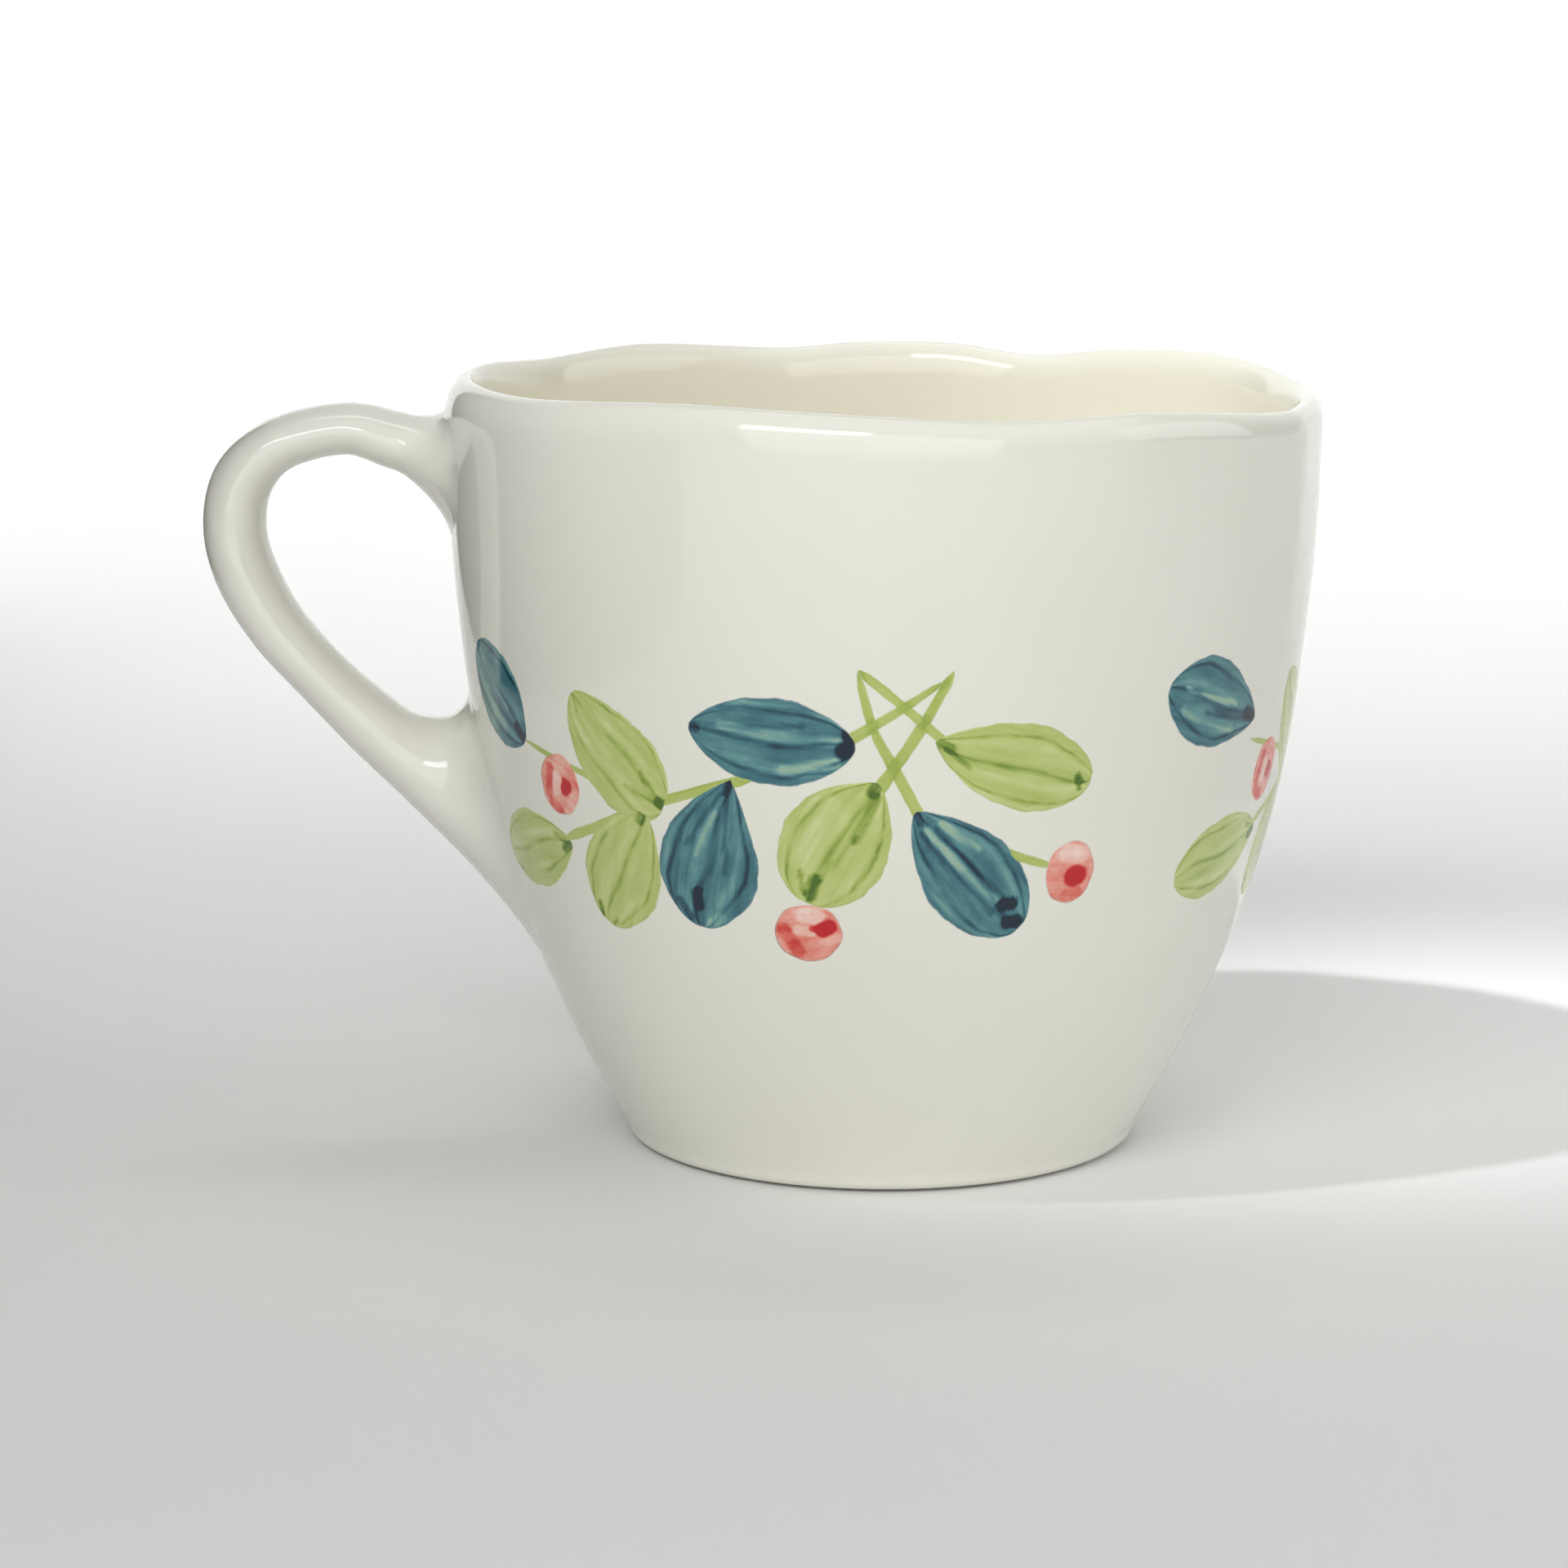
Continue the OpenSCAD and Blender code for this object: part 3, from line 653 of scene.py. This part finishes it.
class Painting:
    """Gathers painted patches of one colour on one sprig into one piece."""

    def __init__(self, turn):
        self.turn = turn
        self.points, self.faces = [], []
        self.values = {"uv": [], "edge": [], "side": [], "blot": [], "seed": []}
        self.count = 0

    def add(self, flat, scale, faces, edge, lift, values, seed):
        """flat holds millimetres round the wall and heights. scale is millimetres to a degree."""
        off = film_lift(edge, lift)
        self.points.append(wall_point(FRONT + self.turn + flat[:, 0] / scale, flat[:, 1], off))
        self.faces += [[self.count + v for v in face] for face in faces]
        self.count += len(flat)
        for key, value in dict(values, edge=edge, seed=np.full(len(flat), seed)).items():
            self.values[key].append(value)

    def patch(self, line, scale, left, right, columns, lift, marks, seed, darken=None):
        """A patch along a flat middle line, with its own half widths to the left and right."""
        run = np.gradient(line, axis=0)
        side = unit(np.stack([run[:, 1], -run[:, 0]], -1))
        along = np.concatenate([[0], np.cumsum(np.linalg.norm(np.diff(line, axis=0), axis=1))])
        v = np.sin(np.linspace(-0.5, 0.5, columns + 1) * math.pi)
        width = np.where(v[None, :] < 0, left[1:-1, None], right[1:-1, None])
        flat = line[1:-1, None, :] + (v[None, :] * width)[..., None] * side[1:-1, None, :]
        from_ends = np.minimum(along[1:-1], along[-1] - along[1:-1])[:, None]
        edge = np.minimum(width * (1 - np.abs(v[None, :])), from_ends)
        rows, wide = flat.shape[:2]
        x = np.broadcast_to(along[1:-1, None], (rows, wide))
        y = v[None, :] * width
        uv = np.stack([x, y * (1 + 0.25 * np.abs(v)) + UV_START], -1).reshape(-1, 2)
        flat = np.concatenate([flat.reshape(-1, 2), line[[0, -1]]])
        ends = np.array([[0.0, UV_START], [along[-1], UV_START]])
        length = along[-1]
        blot = mark_strength(np.append(x.ravel(), [0, length]), np.append(y.ravel(), [0, 0]), marks, length)
        if darken:
            blot = blot + darken(flat)
        side_share = np.append(np.tile(np.linspace(-1, 1, columns + 1), rows), [0, 0])
        values = {"uv": np.concatenate([uv, ends]), "side": side_share, "blot": blot}
        i, j = np.meshgrid(np.arange(rows - 1), np.arange(wide - 1), indexing="ij")
        a = (i * wide + j).ravel()
        faces = np.stack([a, a + 1, a + wide + 1, a + wide], -1).tolist()
        first, last, tail = rows * wide, rows * wide + 1, (rows - 1) * wide
        faces += [(first, k + 1, k) for k in range(wide - 1)] + [(first, 0, wide - 1)]
        faces += [(last, tail + k, tail + k + 1) for k in range(wide - 1)] + [(last, tail + wide - 1, tail)]
        faces += [
            (k * wide, (k + 1) * wide, (k + 2) * wide - 1, (k + 1) * wide - 1) for k in range(rows - 1)
        ]
        self.add(flat, scale, faces, np.append(edge.ravel(), [0, 0]), lift, values, seed)

    def piece(self, name, material, slot, stands_for):
        values = {key: np.concatenate(value) for key, value in self.values.items()}
        return make_piece(name, np.concatenate(self.points), self.faces, material, [stands_for], values)


def mm_per_degree(z):
    return float(outer_r(z)) * math.pi / 180


def paint_leaf(painting, leaf, marks, lift, seed):
    stem_a, stem_z, tip_a, tip_z, half_w, widest, bend, stem_sharp, tip_sharp = leaf
    scale = mm_per_degree((stem_z + tip_z) / 2)
    start, end = np.array([stem_a * scale, stem_z]), np.array([tip_a * scale, tip_z])
    across = unit(np.array([end[1] - start[1], start[0] - end[0]]))
    steps = 64
    t = (1 - np.cos(np.linspace(0, math.pi, steps + 1))) / 2
    line = start + t[:, None] * (end - start) + (bend * 4 * t * (1 - t))[:, None] * across
    power = math.log(0.5) / math.log(widest)
    sharpness = stem_sharp + (tip_sharp - stem_sharp) * t
    width = half_w * np.maximum(np.sin(math.pi * t**power), 0) ** sharpness
    left = width * (1 + 0.04 * ripple(9 * t, seed) + 0.012 * ripple(60 * t, seed))
    right = width * (1 + 0.04 * ripple(9 * t, seed + 3) + 0.012 * ripple(60 * t, seed + 3))
    painting.patch(line, scale, left, right, 36, lift, marks, seed)


def stem_line(stem):
    """Flat middle line of a stem stroke."""
    return path_through([(a * mm_per_degree(STEM_Z), z) for a, z in stem[0]], 14)


def crossing_dark(flat, stem):
    """Darkening where a stroke lies over the other strokes."""
    total = np.zeros(len(flat))
    for other in STEMS:
        if other is not stem:
            line = stem_line(other)
            gap = np.linalg.norm(flat[:, None] - line[None], axis=-1).min(1)
            total = total + 0.3 * (1 - smooth((gap - 0.6) / 0.5))
    return total


def paint_stem(painting, stem, lift, seed):
    points, start_w, end_w = stem
    scale = mm_per_degree(STEM_Z)
    line = stem_line(stem)
    t = np.linspace(0, 1, len(line))
    width = (start_w + (end_w - start_w) * t) * (1 + 0.1 * ripple(14 * t, seed))
    width = width * np.sqrt(np.clip(t * 9, 0, 1)) * np.sqrt(np.clip((1 - t) * 25, 0, 1))
    painting.patch(line, scale, width, width, 8, lift, [], seed, lambda flat: crossing_dark(flat, stem))


def paint_berry(painting, berry, marks, lift, seed):
    a, z, half_w, half_h, lean = berry
    scale = mm_per_degree(z)
    rings, around = 14, 56
    r = np.linspace(0, 1, rings + 1)[1:, None]
    f = np.arange(around)[None, :] * FULL_TURN / around
    outline = 1 + 0.05 * ripple(np.radians(2 * f), seed)
    x, y = r * outline * half_w * cosd(f), r * outline * half_h * sind(f)
    flat = np.stack([a * scale + x * cosd(lean) + y * sind(lean), z - x * sind(lean) + y * cosd(lean)], -1)
    flat = np.concatenate([flat.reshape(-1, 2), [[a * scale, z]]])
    edge = np.append(((1 - r) * min(half_w, half_h) + 0 * f).ravel(), min(half_w, half_h))
    x, y = np.append(x.ravel(), 0), np.append(y.ravel(), 0)
    blot = mark_strength(x, y, marks, 1.0)
    faces = tube_faces(rings, around) + [(rings * around, j, (j + 1) % around) for j in range(around)]
    rim = (rings - 1) * around
    faces.append([rim + j for j in range(around)][::-1])
    values = {"uv": np.stack([2 * x, y], -1) + UV_START, "side": np.zeros(len(x)), "blot": blot}
    painting.add(flat, scale, faces, edge, lift, values, seed)


def sprig(k):
    name, turn = SPRIG_NAMES[k], SPRIG_TURNS[k]
    stems = Painting(turn)
    for i, stem in enumerate(STEMS):
        paint_stem(stems, stem, 0.02 + 0.003 * i, i + 0.3 * k)
    stems.piece(f"{name}_sprig_painted_stems", STEM_PAINT, "stem_paint", f"{name}_sprig_stems")
    teal = Painting(turn)
    for i, leaf in enumerate(TEAL_LEAVES + [OUTER_LEAVES[k]]):
        paint_leaf(teal, leaf, TEAL_MARKS[i], 0.055, 1.3 * i + 2.1 * k)
    teal.piece(f"{name}_sprig_painted_teal_leaves", TEAL_PAINT, "teal_paint", f"{name}_sprig_teal_leaves")
    green = Painting(turn)
    for i, leaf in enumerate(GREEN_LEAVES):
        paint_leaf(green, leaf, GREEN_MARKS[i], 0.05, 1.1 * i + 1.7 * k + 0.5)
    green.piece(
        f"{name}_sprig_painted_green_leaves", GREEN_PAINT, "green_paint", f"{name}_sprig_green_leaves"
    )
    red = Painting(turn)
    for i, berry in enumerate(BERRIES):
        paint_berry(red, berry, BERRY_MARKS[i], 0.045, 0.9 * i + 1.9 * k + 0.2)
    red.piece(f"{name}_sprig_painted_berries", BERRY_PAINT, "berry_paint", f"{name}_sprig_berries")


# ---- Stage, light and camera, in metres ----

def backdrop():
    """Pale floor that sweeps up into a wall behind."""
    half_w, front_y, bend_y, bend_r, top = 2.5, -2.5, 0.3, 0.7, 1.6
    line = [(front_y, 0.0)]
    line += [(bend_y + bend_r * sind(f), bend_r * (1 - cosd(f))) for f in range(0, 91, 5)]
    line += [(bend_y + bend_r, top)]
    points = [(x, y, z) for y, z in line for x in (-half_w, half_w)]
    faces = [(2 * i, 2 * i + 1, 2 * i + 3, 2 * i + 2) for i in range(len(line) - 1)]
    mesh = bpy.data.meshes.new("Backdrop")
    mesh.from_pydata(points, [], faces)
    mesh.polygons.foreach_set("use_smooth", [True] * len(faces))
    m = Nodes("Pale backdrop", 0.9)
    m.colour(srgb(247, 247, 246))
    mesh.materials.append(m.material)
    floor = bpy.data.objects.new("Backdrop", mesh)
    bpy.context.scene.collection.objects.link(floor)


def dark_card():
    """Dark card on the handle's side that darkens the mug's left edge. The camera doesn't see it."""
    x, y0, y1, top = -0.24, -0.2, 0.42, 0.3
    mesh = bpy.data.meshes.new("Dark card")
    mesh.from_pydata([(x, y0, 0), (x, y1, 0), (x, y1, top), (x, y0, top)], [], [(0, 1, 2, 3)])
    m = Nodes("Dark card", 0.9)
    m.colour(srgb(40, 38, 34))
    mesh.materials.append(m.material)
    card = bpy.data.objects.new("Dark card", mesh)
    card.visible_camera = False
    card.visible_shadow = False
    bpy.context.scene.collection.objects.link(card)


def lamp(light, azimuth, elevation, distance, aim):
    """Hangs a light round the aim: azimuth 0 is the camera's side and positive is to the right."""
    hung = bpy.data.objects.new(light.name, light)
    level = cosd(elevation)
    out = Vector((float(sind(azimuth) * level), float(-cosd(azimuth) * level), float(sind(elevation))))
    hung.location = Vector(aim) + distance * out
    hung.rotation_euler = out.to_track_quat("Z", "Y").to_euler()
    bpy.context.scene.collection.objects.link(hung)
    return hung


def softbox(name, azimuth, elevation, distance, width, height, radiance, aim=(0, 0, 0.06), spread=180):
    """Oblong light of even brightness."""
    light = bpy.data.lights.new(name, "AREA")
    light.shape = "RECTANGLE"
    light.size, light.size_y = width, height
    light.energy = radiance * math.pi * width * height
    light.spread = math.radians(spread)
    lamp(light, azimuth, elevation, distance, aim)


def soft_spot(name, azimuth, elevation, distance, radius, cone, power, aim):
    """Narrow soft-edged beam that the glaze doesn't mirror."""
    light = bpy.data.lights.new(name, "SPOT")
    light.energy = power
    light.spot_size = math.radians(cone)
    light.spot_blend = 1
    light.shadow_soft_size = radius
    light.color = (0.96, 0.985, 1.0)
    lamp(light, azimuth, elevation, distance, aim).visible_glossy = False


def light_the_set():
    world = bpy.data.worlds.new("Studio")
    world.use_nodes = True
    world.node_tree.nodes["Background"].inputs["Color"].default_value = (0.97, 0.98, 1.0, 1.0)
    world.node_tree.nodes["Background"].inputs["Strength"].default_value = 0.06
    bpy.context.scene.world = world
    softbox("Key softbox", -22, 36, 1.6, 0.8, 0.3, 6.5)
    softbox("Front fill", -4, 15, 0.85, 1.0, 0.7, 1.8, (0.01, 0, 0.05))
    softbox("Right fill", 84, 20, 1.6, 1.4, 0.9, 1.5)
    softbox("Backdrop light", 0, 78, 1.3, 2.4, 0.5, 1.4, (0, 0.75, 0.1), 70)
    softbox("Overhead fill", 0, 88, 1.5, 2.2, 2.0, 0.32, (0, -0.1, 0))
    soft_spot("Cup light", -58, 56, 1.5, 0.05, 5.2, 100, (0.024, 0.012, 0.092))


def camera():
    lens = bpy.data.cameras.new("Camera")
    lens.sensor_width = 36
    lens.lens = 98.7
    eye = bpy.data.objects.new("Camera", lens)
    eye.location = (-0.0129, -0.560, 0.149)
    eye.rotation_euler = (math.radians(79.65), 0, 0)
    bpy.context.scene.collection.objects.link(eye)
    bpy.context.scene.camera = eye


GLAZE = glaze_material()
CLAY = clay_material()
TEAL_PAINT = paint_material("Teal brushwork", 0.46, 0.5, 0.42, TEAL_STOPS)
GREEN_PAINT = paint_material("Green brushwork", 0.36, 0.42, 0.34, GREEN_STOPS)
STEM_PAINT = paint_material("Stem brushwork", 0.4, 0.5, 0.0, STEM_STOPS)
BERRY_PAINT = paint_material("Berry brushwork", 0.4, 0.6, 0.0, BERRY_STOPS)

body()
foot_ring()
handle()
for sprig_number in range(len(SPRIG_NAMES)):
    sprig(sprig_number)
backdrop()
dark_card()
light_the_set()
camera()
bpy.context.scene.view_settings.view_transform = "Standard"
